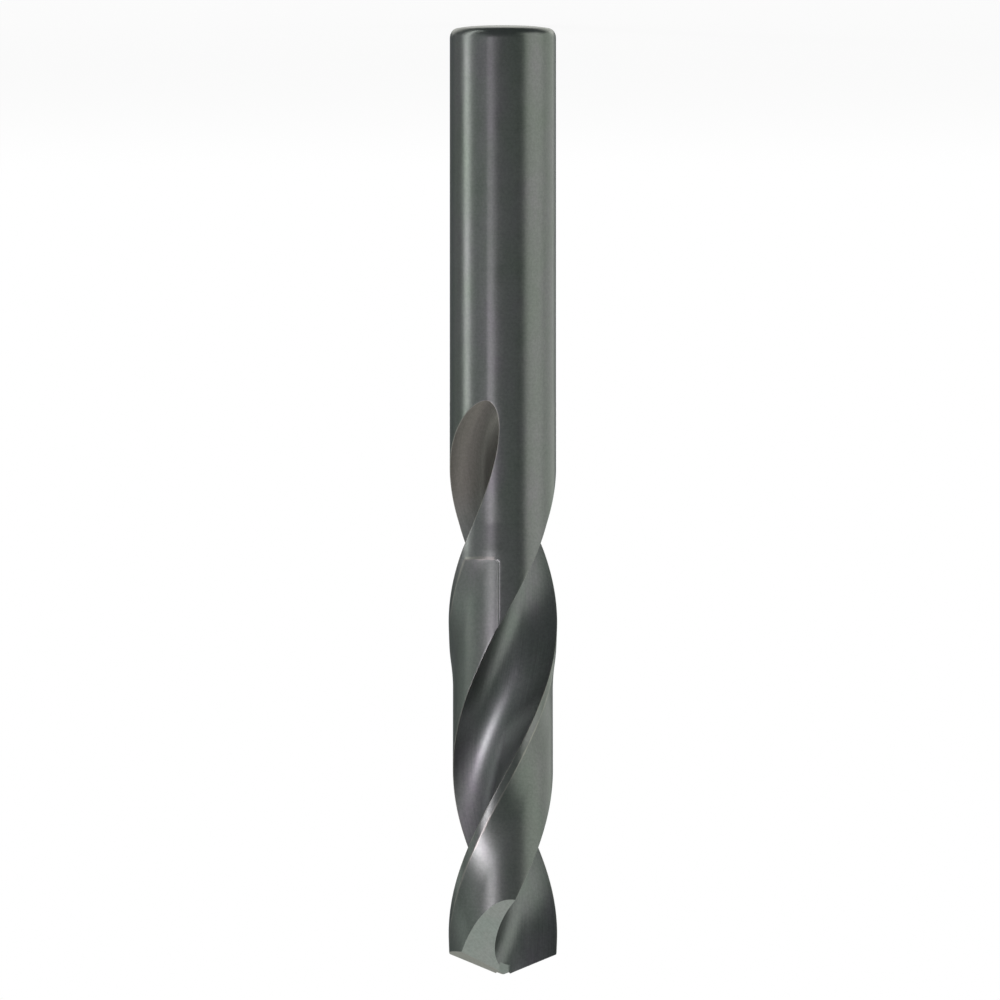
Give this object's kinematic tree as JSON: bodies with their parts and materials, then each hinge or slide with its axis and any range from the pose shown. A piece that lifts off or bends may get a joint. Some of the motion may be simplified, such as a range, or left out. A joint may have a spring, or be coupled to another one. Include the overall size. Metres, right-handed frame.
{
  "type": "twist drill bit",
  "caption": "Short straight-shank twist drill with right-hand spiral flutes, raised margins and a split point, for drilling holes in metal.",
  "frame": {"origin": "centre of the flat end face of the shank, on which the drill stands", "axes": "+Z along the drill's axis from the shank end to the point; +X and +Y across it, with the two cutting lips close to the X axis"},
  "size_m": [0.008, 0.008, 0.0693],
  "materials": {
    "black_oxide_steel": "black oxide on ground high-speed steel, satin with a faint green and purple sheen"
  },
  "bodies": {
    "root": {"drill_bit": "black_oxide_steel"}
  },
  "joints": []
}
